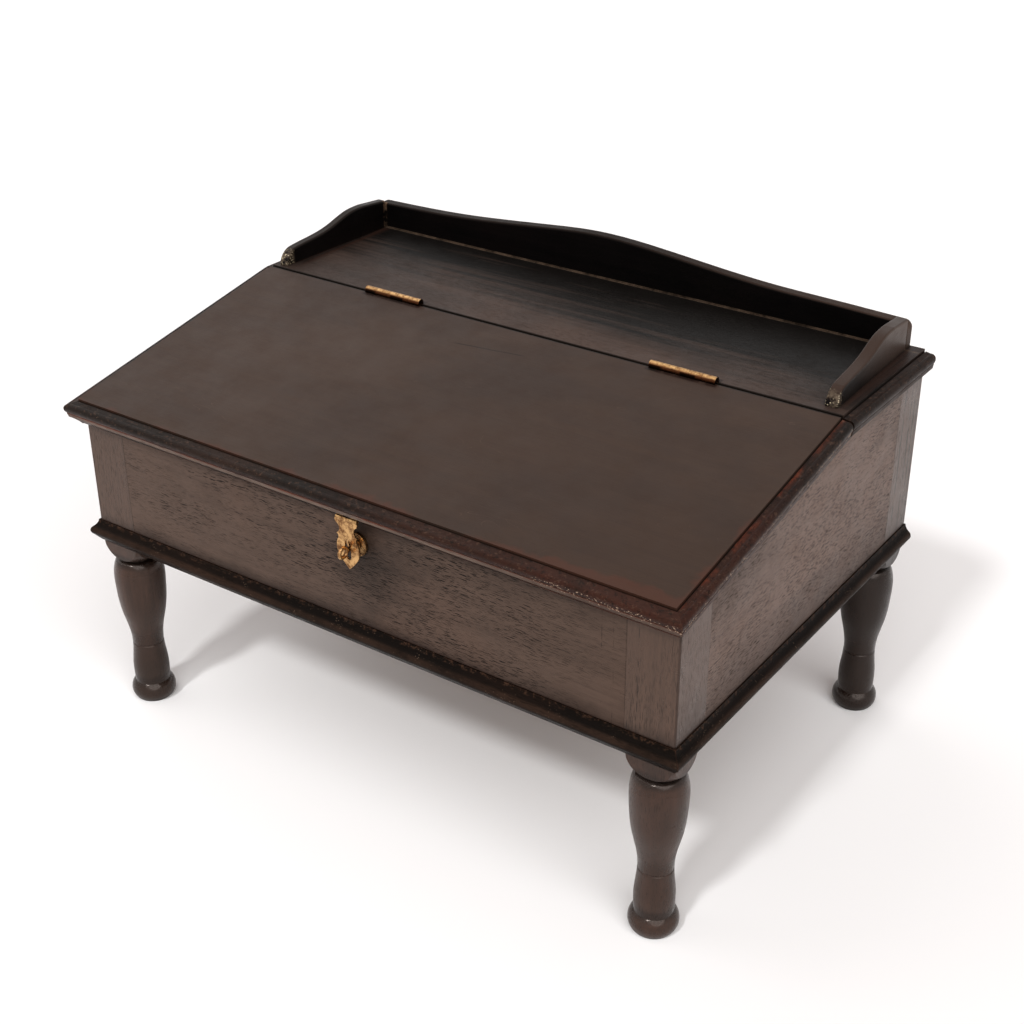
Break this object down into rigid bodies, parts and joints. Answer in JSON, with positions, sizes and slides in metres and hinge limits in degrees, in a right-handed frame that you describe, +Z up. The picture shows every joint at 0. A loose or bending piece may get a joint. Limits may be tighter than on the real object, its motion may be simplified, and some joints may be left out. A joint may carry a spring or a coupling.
{
  "type": "lap desk with lift lid",
  "caption": "Slant-top wooden lap desk on short turned legs, with a hinged lid, moulded edges, a low shaped gallery at the back and a brass hasp and swivel staple in front.",
  "frame": {"origin": "centre of the footprint on the floor, staple and leg bulges included", "axes": "+X to the right as seen from the front, +Y to the back, +Z up"},
  "size_m": [0.501, 0.3534, 0.3253],
  "materials": {
    "case_wood": "dark stained open-pored hardwood, satin",
    "top_wood": "dark stained open-pored hardwood, satin, worn",
    "moulding_wood": "dark stained hardwood, satin, worn red-brown on the edges",
    "gallery_wood": "dark stained hardwood, satin",
    "bottom_wood": "unfinished dark softwood",
    "hinge_brass": "worn, tarnished",
    "hasp_brass": "worn, semi-bright",
    "screw_brass": "tarnished"
  },
  "bodies": {
    "case": {"leg_front_left": "case_wood", "leg_front_right": "case_wood", "leg_rear_left": "case_wood", "leg_rear_right": "case_wood", "front_board": "case_wood", "rear_board": "case_wood", "side_board_left": "case_wood", "side_board_right": "case_wood", "bottom_board": "bottom_wood", "base_moulding_front": "moulding_wood", "base_moulding_left": "moulding_wood", "base_moulding_right": "moulding_wood", "shelf_board": "top_wood", "shelf_moulding_left": "moulding_wood", "shelf_moulding_right": "moulding_wood", "shelf_moulding_patch_left": "moulding_wood", "shelf_moulding_patch_right": "moulding_wood", "gallery_back": "gallery_wood", "gallery_bracket_left": "gallery_wood", "gallery_bracket_right": "gallery_wood", "hinge_left_shelf_leaf": "hinge_brass", "hinge_right_shelf_leaf": "hinge_brass", "hinge_left_pin": "hinge_brass", "hinge_right_pin": "hinge_brass", "hinge_screws_shelf": "screw_brass", "staple_rose": "hasp_brass", "staple_washer": "hasp_brass"},
    "lid": {"lid_panel": "top_wood", "lid_moulding_front": "moulding_wood", "lid_moulding_left": "moulding_wood", "lid_moulding_right": "moulding_wood", "hinge_left_lid_leaf": "hinge_brass", "hinge_right_lid_leaf": "hinge_brass", "hinge_screws_lid": "screw_brass", "hasp_leaf": "hasp_brass", "hasp_pin": "hasp_brass", "hasp_screws": "screw_brass"},
    "hasp": {"hasp_plate": "hasp_brass"},
    "staple": {"staple_loop": "hasp_brass"}
  },
  "joints": [
    {"name": "lid_hinge", "type": "hinge", "parent": "case", "child": "lid", "pos_m": [0, 0.04102, 0.293], "axis": [-1, 0, 0], "range_deg": [0, 145]},
    {"name": "hasp_hinge", "type": "hinge", "parent": "lid", "child": "hasp", "pos_m": [0.006, -0.16557, 0.23711], "axis": [-1, 0, 0], "range_deg": [0, 100]},
    {"name": "staple_turn", "type": "hinge", "parent": "case", "child": "staple", "pos_m": [0.00685, -0.17192, 0.21581], "axis": [0, 1, 0], "range_deg": [0, 90]}
  ]
}
